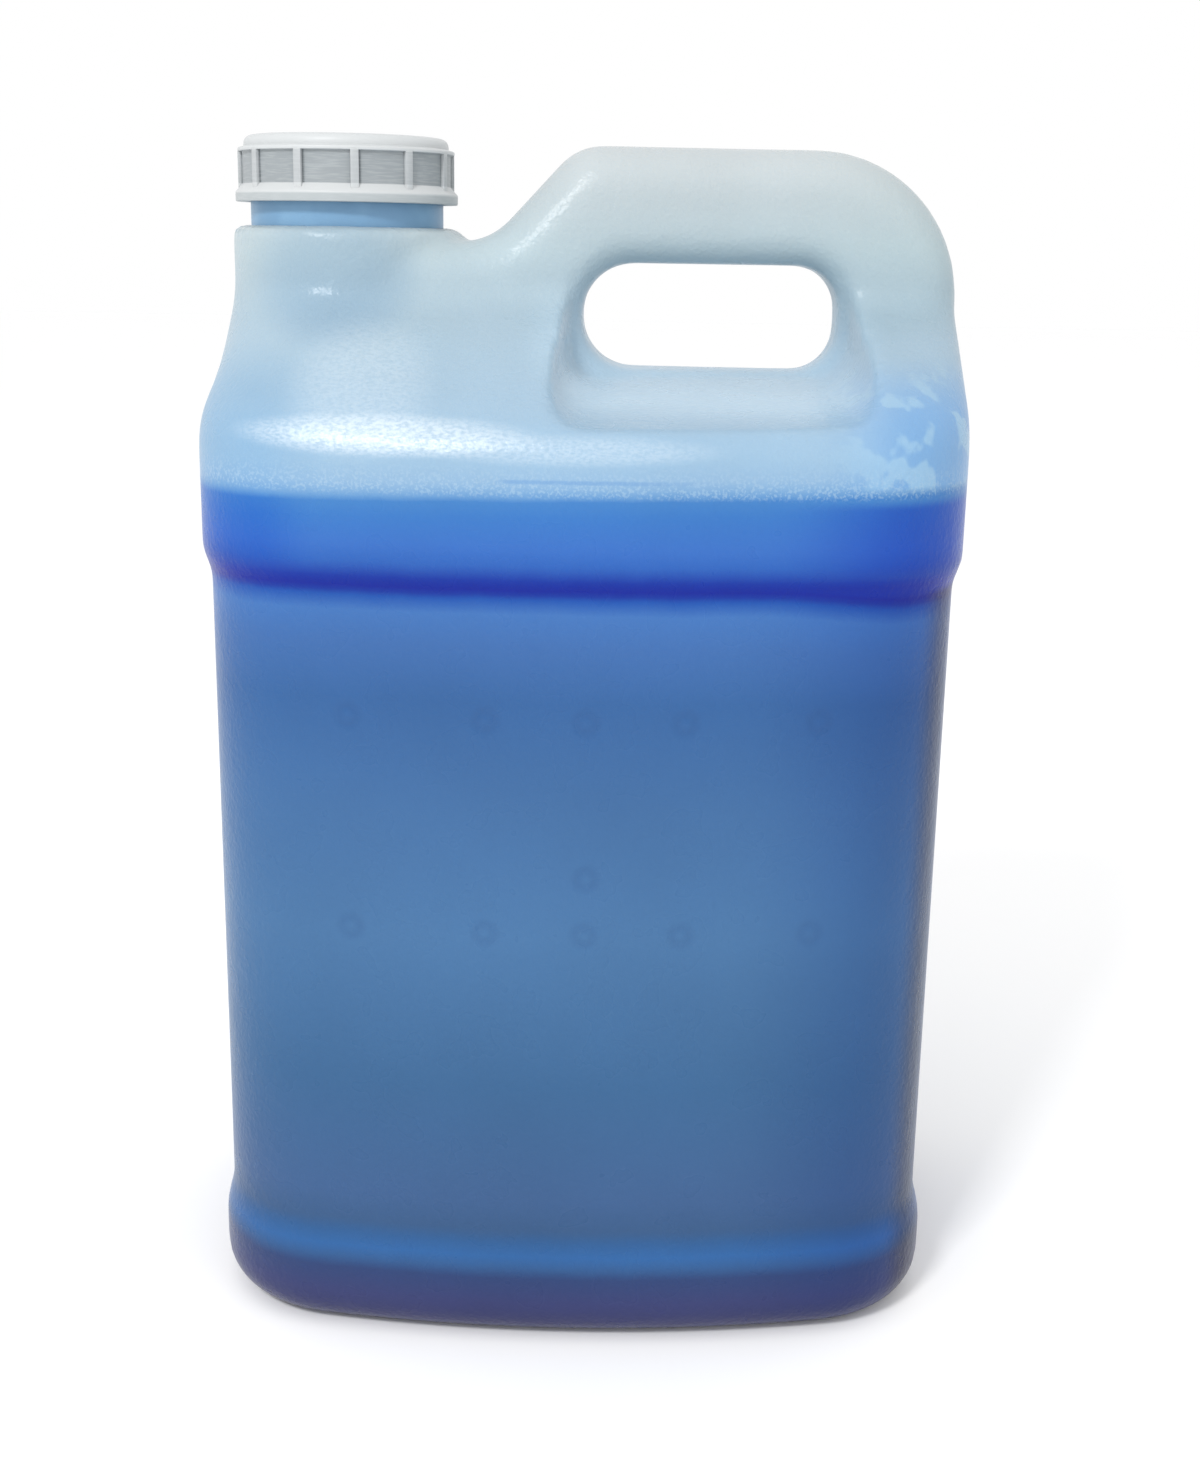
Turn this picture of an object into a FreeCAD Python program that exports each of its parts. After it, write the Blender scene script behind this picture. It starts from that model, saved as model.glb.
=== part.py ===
import FreeCAD, Part
import math
import os

# A large refillable laundry detergent jug: a blow-moulded square jug with a hollow
# through-handle, an off-centre neck column, a ribbed screw cap, a foam wad in the cap
# and the blue liquid inside. Millimetres, +Z up, the front faces -Y, origin at the
# middle of the base. The outer skin and the cavity are the same form, the cavity
# drawn one wall thickness further in.

# Body
body_width = 242.0
body_depth = 177.0
panel_setback = 2.6
corner_radius = 44.0
front_bow_radius = 460.0
side_bow_angle = 3.0
wall = 1.5

# Levels of the body, from the base up
heel_top = 27.0
heel_bevel_top = 37.0
heel_radius = 14.0
panel_top = 247.5
ledge_top = 254.0
shoulder_corner = 294.5
shoulder_radius = 18.0
shoulder_slope = 35.0
saddle_blend_radius = 16.0
saddle_blend_end = 66.0
shoulder_overrun = 2.5
shoulder_corner_steps = 5
shoulder_line_steps = 3
saddle_blend_steps = 4
liquid_level = 275.5

# Push-up under the base
pushup_height = 3.5
pushup_margin = 26.0
pushup_slope_run = 10.0
pushup_corner = 24.0

# Neck column and collar
neck_x = -78.0
column_radius = 36.5
collar_top = 352.0
collar_round = 1.6
neck_rooting = 10.0
column_end_angle = 30.0

# Handle
handle_top = 378.2
handle_right = 119.2
handle_half_depth = 17.4
handle_waist_radius = 600.0
handle_corner_radius = 46.5
handle_edge_radius = 14.0
handle_cut_reach = 60.0
handle_cut_margin = 20.0
web_draw_in = 0.6
saddle_height = 348.2
saddle_radius = 20.0
slope_top_x = -3.6
slope_angle = 47.0
brow_radius = 18.0

# Finger hole
hole_left = -1.5
hole_right = 80.6
hole_bottom = 309.2
hole_top = 342.3
hole_left_radius = 16.0
hole_right_radius = 13.5
hole_rim_radius = 11.0

# Pocket in front of and behind the finger hole
pocket_draft = 7.0
pocket_front_floor = 295.0
pocket_corner_radius = 13.0
pocket_margin = 1.5
pocket_overlap = 1.0
pocket_reach = 8.0
pocket_roof = 40.0
web_base_drop = 6.0
web_end_setback = 0.4

# Threaded neck
neck_root_radius = 29.75
neck_bore_radius = 27.5
neck_base_radius = 30.8
neck_base_height = 7.6
thread_lead = 6.35
thread_depth = 1.5
thread_root_width = 2.4
thread_crest_width = 1.2
neck_thread_turns = 1.4
neck_thread_drop = 2.4

# Screw cap
cap_flange_radius = 35.5
cap_rim_radius = 34.5
cap_panel_radius = 33.2
cap_disc_radius = 32.6
cap_gap = 7.3
cap_flange_height = 3.0
cap_ledge_height = 2.5
cap_panel_height = 9.8
cap_rim_height = 1.5
cap_disc_height = 3.5
cap_disc_round = 2.6
cap_top_wall = 2.2
cap_rim_drop = 0.5
cap_disc_step_out = 0.6
cap_disc_step_up = 0.4
cap_rib_root = 0.6
cap_rib_overlap = 0.5
cap_rib_count = 12
cap_rib_width = 2.6
cap_rib_phase = 11.5
cap_thread_turns = 1.2
thread_clearance = 0.4

# Foam wad
liner_thickness = 1.5
liner_clearance = 0.3
liquid_clearance = 0.3
thread_embed = 0.5

# Tolerances for picking edges out by their place
level_tolerance = 0.01
hole_tolerance = 0.1
off_middle = 5.0

# Worked-out values
half_width = body_width / 2
half_depth = body_depth / 2
cap_bottom = collar_top + cap_gap
cap_top = (cap_bottom + cap_flange_height + cap_ledge_height + cap_panel_height
           + cap_rim_height + cap_disc_height)
land_height = cap_top - cap_top_wall - liner_thickness
neck_crest_radius = neck_root_radius + thread_depth
cap_bore_radius = neck_crest_radius + thread_clearance
shoulder_run = half_depth - column_radius


def vec(x, y, z=0.0):
    return FreeCAD.Vector(x, y, z)


def blend(a, b, t):
    return a + (b - a) * t


def arc_about(center, radius, start, end, z):
    """Arc about a centre, between two angles in radians."""
    mid = (start + end) / 2
    points = [vec(center[0] + radius * math.cos(a), center[1] + radius * math.sin(a), z)
              for a in (start, mid, end)]
    return Part.Arc(*points).toShape()


class Plan:
    """A rounded outline seen from above: two bowed ends, four corners and two long sides.

    left and right are the reach of each end from the middle, both positive.

    Each end has its own corner radius and half depth. The long sides are arcs that touch
    the corners: they bow out where side_curve is positive and in where it is negative.
    """

    def __init__(self, left, right, left_depth, right_depth, left_corner, right_corner,
                 left_angle, right_angle, side_curve):
        self.corner = {-1: left_corner, 1: right_corner}
        self.angle = {-1: math.radians(left_angle), 1: math.radians(right_angle)}
        self.center = {}
        self.end = {}
        for side, reach, depth in ((-1, left, left_depth), (1, right, right_depth)):
            radius = self.corner[side]
            angle = self.angle[side]
            cy = depth - radius
            end_radius = (cy + radius * math.sin(angle)) / math.sin(angle)
            cx = reach - radius * math.cos(angle) - end_radius * (1 - math.cos(angle))
            self.center[side] = (side * cx, cy)
            self.end[side] = (side * (reach - end_radius), end_radius)
        self.side_radius = 1.0 / side_curve
        self.side_center = self.find_side_center()

    def find_side_center(self):
        """Centre of the long side that touches both corners of the +Y half."""
        (x1, y1), (x2, y2) = self.center[-1], self.center[1]
        d1 = abs(self.side_radius - self.corner[-1])
        d2 = abs(self.side_radius - self.corner[1])
        span = math.hypot(x2 - x1, y2 - y1)
        along = (d1 ** 2 - d2 ** 2 + span ** 2) / (2 * span)
        off = math.sqrt(d1 ** 2 - along ** 2)
        ux, uy = (x2 - x1) / span, (y2 - y1) / span
        turn = 1.0 if self.side_radius > 0 else -1.0
        return (x1 + along * ux + turn * off * uy, y1 + along * uy - turn * off * ux)

    def side_normal(self, side):
        """Angle of the outward normal where the +Y long side meets a corner."""
        turn = 1.0 if self.side_radius > 0 else -1.0
        dx = turn * (self.center[side][0] - self.side_center[0])
        dy = turn * (self.center[side][1] - self.side_center[1])
        return math.atan2(dy, dx)

    def wire(self, z, inset=0.0):
        """Closed outline at height z, drawn in by inset all round."""
        left, right = self.angle[-1], self.angle[1]
        to_left, to_right = self.side_normal(-1), self.side_normal(1)
        sx, sy = self.side_center
        reach = self.side_radius - inset
        edges = []
        end_x, end_r = self.end[1]
        edges.append(arc_about((end_x, 0), end_r - inset, -right, right, z))
        edges.append(arc_about(self.center[1], self.corner[1] - inset, right, to_right, z))
        if reach > 0:
            edges.append(arc_about((sx, sy), reach, to_right, to_left, z))
        else:
            edges.append(arc_about((sx, sy), -reach, to_right - math.pi, to_left - math.pi, z))
        edges.append(arc_about(self.center[-1], self.corner[-1] - inset, to_left, math.pi - left, z))
        end_x, end_r = self.end[-1]
        edges.append(arc_about((end_x, 0), end_r - inset, math.pi - left, math.pi + left, z))
        cx, cy = self.center[-1]
        edges.append(arc_about((cx, -cy), self.corner[-1] - inset, -math.pi + left, -to_left, z))
        if reach > 0:
            edges.append(arc_about((sx, -sy), reach, -to_left, -to_right, z))
        else:
            edges.append(arc_about((sx, -sy), -reach, math.pi - to_left, math.pi - to_right, z))
        cx, cy = self.center[1]
        edges.append(arc_about((cx, -cy), self.corner[1] - inset, -to_right, -right, z))
        return Part.Wire(edges)


def plan_at(share):
    """Outline between the body's, at share 0, and the neck and handle's, at share 1."""
    return Plan(
        left=blend(half_width, column_radius - neck_x, share),
        right=blend(half_width, handle_right - web_end_setback, share),
        left_depth=blend(corner_half_depth, column_radius, share),
        right_depth=blend(corner_half_depth, handle_half_depth, share),
        left_corner=blend(corner_radius, column_radius, share),
        right_corner=blend(corner_radius, handle_edge_radius, share),
        left_angle=blend(side_bow_angle, column_end_angle, share),
        right_angle=side_bow_angle,
        side_curve=blend(1 / front_bow_radius, -1 / handle_waist_radius, share))


def find_corner_half_depth():
    """Half depth at the corners that leaves the bowed front at half_depth in the middle."""
    reach = half_width - corner_radius
    sagitta = (front_bow_radius - corner_radius) - math.sqrt(
        (front_bow_radius - corner_radius) ** 2 - reach ** 2)
    return half_depth - sagitta


corner_half_depth = find_corner_half_depth()
body_plan = plan_at(0.0)
top_plan = plan_at(1.0)


def prism(wire, height):
    return Part.Face(wire).extrude(vec(0, 0, height))


def lower_body(inset, top):
    """Heel, label panel, ledge and shoulder band, up to the height top."""
    floor = inset
    heel = prism(body_plan.wire(floor, inset), heel_top - floor)
    rim = [e for e in heel.Edges if e.BoundBox.ZMax < floor + level_tolerance]
    heel = heel.makeFillet(heel_radius - inset, rim)
    panel_inset = panel_setback + inset
    bevel = Part.makeLoft([body_plan.wire(heel_top, inset),
                           body_plan.wire(heel_bevel_top, panel_inset)], True, True)
    panel = prism(body_plan.wire(heel_bevel_top, panel_inset), panel_top - heel_bevel_top)
    ledge = Part.makeLoft([body_plan.wire(panel_top, panel_inset),
                           body_plan.wire(ledge_top, inset)], True, True)
    band = prism(body_plan.wire(ledge_top, inset), top - ledge_top)
    return heel.fuse([bevel, panel, ledge, band])


def pushup(inset):
    """Shallow raised middle of the base, cut out of the skin from below."""
    reach = half_width - pushup_margin
    depth = corner_half_depth - pushup_margin
    plan = Plan(reach, reach, depth, depth, pushup_corner, pushup_corner,
                side_bow_angle, side_bow_angle, 1 / front_bow_radius)
    low = plan.wire(-pushup_height, -inset)
    high = plan.wire(pushup_height + inset, pushup_slope_run - inset)
    return Part.makeLoft([low, high], True, True)


def shoulder_profile():
    """Points of the shoulder, as (run, height, angle of its rise)."""
    slope = math.radians(shoulder_slope)
    turn = math.pi / 2 - slope
    start = shoulder_corner - shoulder_radius * math.tan(turn / 2)
    points = []
    for step in range(shoulder_corner_steps + 1):
        a = turn * step / shoulder_corner_steps
        points.append((shoulder_radius * (1 - math.cos(a)), start + shoulder_radius * math.sin(a),
                       math.pi / 2 - a))
    steep = math.radians(saddle_blend_end)
    blend_run = saddle_blend_radius * (math.sin(steep) - math.sin(slope))
    blend_rise = saddle_blend_radius * (math.cos(slope) - math.cos(steep))
    run, height, _ = points[-1]
    line_run = shoulder_run - run - blend_run
    line_rise = line_run * math.tan(slope)
    for step in range(1, shoulder_line_steps + 1):
        part = step / shoulder_line_steps
        points.append((run + line_run * part, height + line_rise * part, slope))
    run, height, _ = points[-1]
    for step in range(1, saddle_blend_steps + 1):
        a = slope + (steep - slope) * step / saddle_blend_steps
        points.append((run + saddle_blend_radius * (math.sin(a) - math.sin(slope)),
                       height + saddle_blend_radius * (math.cos(slope) - math.cos(a)), a))
    run, height, a = points[-1]
    points.append((run + shoulder_overrun, height + shoulder_overrun * math.tan(a), a))
    return points


profile = shoulder_profile()
shoulder_start = profile[0][1]


def shoulder(inset):
    """Slopes from the body's square outline up to the neck column and the handle."""
    wires = []
    for run, height, rise in profile:
        share = run / shoulder_run
        wires.append(plan_at(share).wire(height - inset * math.cos(rise), inset * math.sin(rise)))
    return Part.makeLoft(wires, True, False)


def handle_side(inset):
    """Side view of the web and the handle, as a face in the XZ plane."""
    top = handle_top - inset
    right = handle_right - inset
    corner = handle_corner_radius - inset
    slope = math.radians(slope_angle)
    low = saddle_height - inset
    left = neck_x
    base = pocket_front_floor - web_base_drop
    # The slope is a straight line, set in along its own normal.
    line_x = slope_top_x + inset * math.tan(slope / 2)
    saddle_turn = saddle_radius + inset
    brow_turn = brow_radius - inset
    saddle_tan = saddle_turn * math.tan(slope / 2)
    brow_tan = brow_turn * math.tan(slope / 2)
    foot_x = line_x - (top - low) / math.tan(slope)
    p_flat = vec(foot_x - saddle_tan, 0, low)
    p_rise = vec(foot_x + saddle_tan * math.cos(slope), 0, low + saddle_tan * math.sin(slope))
    p_brow = vec(line_x - brow_tan * math.cos(slope), 0, top - brow_tan * math.sin(slope))
    p_top = vec(line_x + brow_tan, 0, top)
    p_mid1 = vec(p_flat.x + saddle_turn * math.sin(slope / 2), 0,
                 low + saddle_turn * (1 - math.cos(slope / 2)))
    p_mid2 = vec(p_top.x - brow_turn * math.sin(slope / 2), 0,
                 top - brow_turn * (1 - math.cos(slope / 2)))
    p_corner = vec(right - corner, 0, top)
    diagonal = corner * math.sqrt(0.5)
    p_mid3 = vec(right - corner + diagonal, 0, top - corner + diagonal)
    p_right = vec(right, 0, top - corner)
    edges = [
        Part.makeLine(vec(left, 0, base), vec(left, 0, low)),
        Part.makeLine(vec(left, 0, low), p_flat),
        Part.Arc(p_flat, p_mid1, p_rise).toShape(),
        Part.makeLine(p_rise, p_brow),
        Part.Arc(p_brow, p_mid2, p_top).toShape(),
        Part.makeLine(p_top, p_corner),
        Part.Arc(p_corner, p_mid3, p_right).toShape(),
        Part.makeLine(p_right, vec(right, 0, base)),
        Part.makeLine(vec(right, 0, base), vec(left, 0, base))]
    return Part.Face(Part.Wire(edges))


def handle_waist(inset):
    """Plan of the web and the handle, wider at the column, as a solid to intersect with."""
    sx, sy = top_plan.side_center
    # Drawn in a little, so that it enters the column instead of just touching it.
    radius = handle_waist_radius + inset + web_draw_in
    beyond = handle_right + handle_cut_margin

    def depth(x):
        return sy - math.sqrt(radius ** 2 - (x - sx) ** 2)

    mid = (neck_x + beyond) / 2
    back = Part.Arc(vec(neck_x, depth(neck_x)), vec(mid, depth(mid)), vec(beyond, depth(beyond)))
    front = Part.Arc(vec(beyond, -depth(beyond)), vec(mid, -depth(mid)), vec(neck_x, -depth(neck_x)))
    edges = [back.toShape(), Part.makeLine(vec(beyond, depth(beyond)), vec(beyond, -depth(beyond))),
             front.toShape(), Part.makeLine(vec(neck_x, -depth(neck_x)), vec(neck_x, depth(neck_x)))]
    return prism(Part.Wire(edges), handle_top + handle_cut_margin)


def hole_wire(y, grow=0.0, margin=0.0, floor=None, roof=None, left_r=None, right_r=None):
    """Rounded finger hole outline in the plane at depth y."""
    left = hole_left - grow - margin
    right = hole_right + grow + margin
    low = (hole_bottom if floor is None else floor) - grow
    high = (hole_top if roof is None else roof) + grow
    rl = (hole_left_radius if left_r is None else left_r) + grow
    rr = (hole_right_radius if right_r is None else right_r) + grow

    def turn(cx, cz, radius, start):
        angles = [math.radians(start + step) for step in (0, 45, 90)]
        return Part.Arc(*[vec(cx + radius * math.cos(a), y, cz + radius * math.sin(a))
                          for a in angles]).toShape()

    edges = [
        turn(right - rr, high - rr, rr, 0),
        Part.makeLine(vec(right - rr, y, high), vec(left + rl, y, high)),
        turn(left + rl, high - rl, rl, 90),
        Part.makeLine(vec(left, y, high - rl), vec(left, y, low + rl)),
        turn(left + rl, low + rl, rl, 180),
        Part.makeLine(vec(left + rl, y, low), vec(right - rr, y, low)),
        turn(right - rr, low + rr, rr, 270),
        Part.makeLine(vec(right, y, low + rr), vec(right, y, high - rr))]
    return Part.Wire(edges)


def handle(inset):
    """Web and handle with rounded edges, pierced by the finger hole."""
    side = handle_side(inset)
    reach = handle_cut_reach
    side.translate(vec(0, -reach, 0))
    slab = side.extrude(vec(0, 2 * reach, 0)).common(handle_waist(inset))
    base = pocket_front_floor - web_base_drop
    rim = []
    for edge in slab.Edges:
        box = edge.BoundBox
        flat = box.ZMax < base + level_tolerance
        inner_end = box.XMax < neck_x + level_tolerance
        across = box.YMin < 0 < box.YMax
        if not flat and not inner_end and not across:
            rim.append(edge)
    slab = slab.makeFillet(handle_edge_radius - inset, rim)
    hole = Part.Face(hole_wire(-reach, inset)).extrude(vec(0, 2 * reach, 0))
    slab = slab.cut(hole)
    reach_past = inset + hole_tolerance
    rim = []
    for edge in slab.Edges:
        box = edge.BoundBox
        one_side = box.YMax < -off_middle or box.YMin > off_middle
        inside = (box.XMin > hole_left - reach_past and box.XMax < hole_right + reach_past
                  and box.ZMin > hole_bottom - reach_past and box.ZMax < hole_top + reach_past)
        if one_side and inside:
            rim.append(edge)
    return slab.makeFillet(hole_rim_radius - inset, rim)


def pocket(inset, side):
    """Drafted finger pocket on one face of the body; side is -1 for the front."""
    near = -pocket_overlap
    far = half_depth + pocket_reach
    roof = handle_top + pocket_roof
    widen = math.tan(math.radians(pocket_draft)) * (far - near)
    drop = (hole_bottom - pocket_front_floor) / half_depth
    inner = hole_wire(side * near, inset, pocket_margin, hole_bottom - drop * near, roof,
                      pocket_corner_radius, pocket_corner_radius)
    outer = hole_wire(side * far, inset, pocket_margin + widen, hole_bottom - drop * far,
                      roof, pocket_corner_radius, pocket_corner_radius)
    return Part.makeLoft([inner, outer], True, True)


def pocketed_shoulder(inset):
    """The shoulder with both finger pockets cut."""
    return shoulder(inset).cut([pocket(inset, -1), pocket(inset, 1)])


def neck_cylinder(radius, top):
    """Plain cylinder of the neck, rooted in the column."""
    foot = collar_top - neck_rooting
    return Part.makeCylinder(radius, top - foot, vec(neck_x, 0, foot))


def jug_form(inset, neck):
    """Solid of the jug's form, drawn in by inset, with the given neck on its column."""
    upper = pocketed_shoulder(inset)
    body = lower_body(inset, shoulder_start).fuse([upper, handle(inset)])
    column = Part.makeCylinder(column_radius - inset, collar_top - inset - shoulder_corner,
                               vec(neck_x, 0, shoulder_corner))
    if inset == 0:
        rim = [e for e in column.Edges if e.BoundBox.ZMin > collar_top - level_tolerance]
        column = column.makeFillet(collar_round, rim)
    form = body.fuse(column.fuse(neck)).removeSplitter()
    return form.cut(pushup(inset))


def thread(radius, outward, start, turns):
    """Helical rib of the closure; its root lies on the given radius."""
    sign = 1.0 if outward else -1.0
    root = radius - sign * thread_embed
    crest = radius + sign * thread_depth
    half_root = thread_root_width / 2
    half_crest = thread_crest_width / 2
    helix = Part.makeHelix(thread_lead, thread_lead * turns, radius)
    corners = [vec(root, 0, -half_root), vec(crest, 0, -half_crest),
               vec(crest, 0, half_crest), vec(root, 0, half_root)]
    section = Part.makePolygon(corners + [corners[0]])
    rib = Part.Wire(helix).makePipeShell([section], True, True)
    rib.translate(vec(neck_x, 0, start))
    return rib


def make_bottle():
    base_ring = Part.makeCylinder(neck_base_radius, neck_base_height, vec(neck_x, 0, collar_top))
    top_turn = land_height - neck_thread_drop
    rib = thread(neck_root_radius, True, top_turn - neck_thread_turns * thread_lead, neck_thread_turns)
    neck = neck_cylinder(neck_root_radius, land_height).fuse([base_ring, rib])
    outer = jug_form(0.0, neck)
    inner = jug_form(wall, neck_cylinder(neck_bore_radius, land_height + neck_rooting))
    return outer.cut(inner)


def make_detergent():
    inset = wall + liquid_clearance
    return lower_body(inset, liquid_level).cut(pushup(inset)).removeSplitter()


def make_cap():
    ledge_top_z = cap_bottom + cap_flange_height + cap_ledge_height
    panel_top_z = ledge_top_z + cap_panel_height
    rim_top_z = panel_top_z + cap_rim_height
    inside_top = cap_top - cap_top_wall
    points = [
        (cap_bore_radius, cap_bottom),
        (cap_flange_radius, cap_bottom),
        (cap_flange_radius, cap_bottom + cap_flange_height),
        (cap_panel_radius, ledge_top_z),
        (cap_panel_radius, panel_top_z),
        (cap_rim_radius, panel_top_z),
        (cap_rim_radius, rim_top_z - cap_rim_drop),
        (cap_disc_radius + cap_disc_step_out, rim_top_z),
        (cap_disc_radius, rim_top_z + cap_disc_step_up),
        (cap_disc_radius, cap_top - cap_disc_round)]
    edges = [Part.makeLine(vec(a[0], 0, a[1]), vec(b[0], 0, b[1]))
             for a, b in zip(points, points[1:])]
    r = cap_disc_round
    diagonal = r * math.sqrt(0.5)
    center_r = cap_disc_radius - r
    center_z = cap_top - r
    edges.append(Part.Arc(vec(cap_disc_radius, 0, center_z),
                          vec(center_r + diagonal, 0, center_z + diagonal),
                          vec(center_r, 0, cap_top)).toShape())
    for a, b in (((center_r, cap_top), (0, cap_top)), ((0, cap_top), (0, inside_top)),
                 ((0, inside_top), (cap_bore_radius, inside_top)),
                 ((cap_bore_radius, inside_top), points[0])):
        edges.append(Part.makeLine(vec(a[0], 0, a[1]), vec(b[0], 0, b[1])))
    cap = Part.Face(Part.Wire(edges)).revolve(vec(0, 0, 0), vec(0, 0, 1), 360)
    ribs = []
    inner = cap_panel_radius - cap_rib_root
    for index in range(cap_rib_count):
        foot = cap_bottom + cap_flange_height
        rib = Part.makeBox(cap_rim_radius - inner, cap_rib_width, panel_top_z - foot + cap_rib_overlap,
                           vec(inner, -cap_rib_width / 2, foot))
        rib.rotate(vec(0, 0, 0), vec(0, 0, 1), cap_rib_phase + 360.0 * index / cap_rib_count)
        ribs.append(rib)
    cap = cap.fuse(ribs).removeSplitter()
    cap.translate(vec(neck_x, 0, 0))
    top_turn = land_height - neck_thread_drop - thread_lead / 2
    rib = thread(cap_bore_radius, False, top_turn - cap_thread_turns * thread_lead, cap_thread_turns)
    return cap.fuse(rib)


def make_liner():
    return Part.makeCylinder(cap_bore_radius - liner_clearance, liner_thickness,
                             vec(neck_x, 0, land_height))


def save(name, shape):
    solids = shape.Solids
    shape = solids[0] if len(solids) == 1 else shape
    shape.exportStep("parts/" + name + ".step")
    print(name, "solids", len(solids), "valid", shape.isValid(), "volume", round(shape.Volume, 1))


os.makedirs("parts", exist_ok=True)
save("bottle", make_bottle())
save("cap", make_cap())
save("cap_liner", make_liner())
save("detergent", make_detergent())
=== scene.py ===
import math

import bmesh
import bpy
from mathutils import Matrix, Vector


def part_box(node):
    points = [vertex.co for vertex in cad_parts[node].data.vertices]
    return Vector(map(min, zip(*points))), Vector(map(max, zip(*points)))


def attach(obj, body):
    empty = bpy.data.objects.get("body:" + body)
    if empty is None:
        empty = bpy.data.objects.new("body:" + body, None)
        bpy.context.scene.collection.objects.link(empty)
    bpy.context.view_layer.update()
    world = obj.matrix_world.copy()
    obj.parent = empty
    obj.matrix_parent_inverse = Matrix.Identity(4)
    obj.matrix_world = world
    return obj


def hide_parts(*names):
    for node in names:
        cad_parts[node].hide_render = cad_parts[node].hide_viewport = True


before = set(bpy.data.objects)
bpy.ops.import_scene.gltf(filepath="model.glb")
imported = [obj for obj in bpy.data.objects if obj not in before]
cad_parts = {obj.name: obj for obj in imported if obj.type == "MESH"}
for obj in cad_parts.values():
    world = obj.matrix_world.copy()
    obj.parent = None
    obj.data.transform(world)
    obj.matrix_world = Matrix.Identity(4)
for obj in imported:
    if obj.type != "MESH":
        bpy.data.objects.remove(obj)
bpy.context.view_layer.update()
print("frame loaded", list(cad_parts))

# Places that several pieces share, in metres
neckX = -0.078
collarTop = 0.352
liquidLevel = 0.2755
capLow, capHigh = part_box("cap")
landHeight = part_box("cap_liner")[0][2]
mergeDistance = 0.00001


def newMaterial(name):
    material = bpy.data.materials.new(name)
    material.use_nodes = True
    material.node_tree.nodes.clear()
    return material


def addNode(tree, kind, x, y, **values):
    node = tree.nodes.new(kind)
    node.location = (x, y)
    for key, value in values.items():
        setattr(node, key, value)
    return node


def feed(tree, socket, value):
    if isinstance(value, (int, float)):
        socket.default_value = value
    elif isinstance(value, (tuple, list)):
        socket.default_value = tuple(value)
    else:
        tree.links.new(value, socket)


def mathNode(tree, operation, first, second=None, x=0, y=0):
    node = addNode(tree, "ShaderNodeMath", x, y, operation=operation)
    feed(tree, node.inputs[0], first)
    if second is not None:
        feed(tree, node.inputs[1], second)
    return node.outputs[0]


def product(tree, values, x=0, y=0):
    # Masks and amounts multiplied together, in a row of nodes.
    result = values[0]
    for index, value in enumerate(values[1:]):
        result = mathNode(tree, "MULTIPLY", result, value, x + 150 * index, y)
    return result


def smoothMask(tree, value, ends, x=0, y=0):
    # 0 at the first end and 1 at the second, whichever of the two is larger.
    node = addNode(tree, "ShaderNodeMapRange", x, y, interpolation_type="SMOOTHSTEP")
    feed(tree, node.inputs["Value"], value)
    feed(tree, node.inputs["From Min"], ends[0])
    feed(tree, node.inputs["From Max"], ends[1])
    return node.outputs["Result"]


def shifted(middle, ends):
    return middle + ends[0], middle + ends[1]


def ellipseMask(tree, axes, middle, reach, ends, x=0, y=0):
    # Grows over an upright ellipse, from 0 at its rim to 1 in its middle.
    squares = []
    for index, axis in enumerate("XZ"):
        offset = mathNode(tree, "SUBTRACT", axes[axis], middle[index], x, y - 150 * index)
        share = mathNode(tree, "DIVIDE", offset, reach[index], x + 150, y - 150 * index)
        squares.append(mathNode(tree, "POWER", share, 2.0, x + 300, y - 150 * index))
    spread = mathNode(tree, "ADD", squares[0], squares[1], x + 450, y)
    return smoothMask(tree, spread, ends, x + 600, y)


def mixColour(tree, factor, first, second, x=0, y=0, blendType="MIX"):
    node = addNode(tree, "ShaderNodeMix", x, y, data_type="RGBA", blend_type=blendType)
    feed(tree, node.inputs[0], factor)
    feed(tree, node.inputs[6], first)
    feed(tree, node.inputs[7], second)
    return node.outputs[2]


def noiseValue(tree, vector, scale, detail, x=0, y=0):
    node = addNode(tree, "ShaderNodeTexNoise", x, y)
    tree.links.new(vector, node.inputs["Vector"])
    feed(tree, node.inputs["Scale"], scale)
    node.inputs["Detail"].default_value = detail
    return node.outputs["Fac"]


def stretchedNoise(tree, place, stretch, scale, detail, x=0, y=0):
    mapping = addNode(tree, "ShaderNodeMapping", x, y)
    mapping.inputs["Scale"].default_value = stretch
    tree.links.new(place, mapping.inputs["Vector"])
    return noiseValue(tree, mapping.outputs[0], scale, detail, x + 200, y)


def linear(red, green, blue):
    # A colour of 0 to 255 as the linear values that a shader takes.
    values = []
    for part in (red, green, blue):
        part = part / 255
        values.append(part / 12.92 if part <= 0.04045 else ((part + 0.055) / 1.055) ** 2.4)
    return (*values, 1.0)


def objectPoint(tree, x=-1800, y=0):
    coordinates = addNode(tree, "ShaderNodeTexCoord", x, y)
    split = addNode(tree, "ShaderNodeSeparateXYZ", x + 200, y)
    tree.links.new(coordinates.outputs["Object"], split.inputs[0])
    return coordinates.outputs["Object"], split.outputs


def plasticShader(material, colour, normal, roughness, settings):
    tree = material.node_tree
    shader = addNode(tree, "ShaderNodeBsdfPrincipled", 600, 0)
    feed(tree, shader.inputs["Base Color"], colour)
    feed(tree, shader.inputs["Roughness"], roughness)
    feed(tree, shader.inputs["Normal"], normal)
    shader.inputs["IOR"].default_value = settings["ior"]
    shader.inputs["Specular IOR Level"].default_value = settings["specular"]
    shader.inputs["Subsurface Weight"].default_value = settings["subsurface"]
    shader.inputs["Subsurface Radius"].default_value = settings["subsurfaceRadius"]
    shader.inputs["Subsurface Scale"].default_value = settings["subsurfaceScale"]
    output = addNode(tree, "ShaderNodeOutputMaterial", 900, 0)
    tree.links.new(shader.outputs[0], output.inputs[0])


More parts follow.
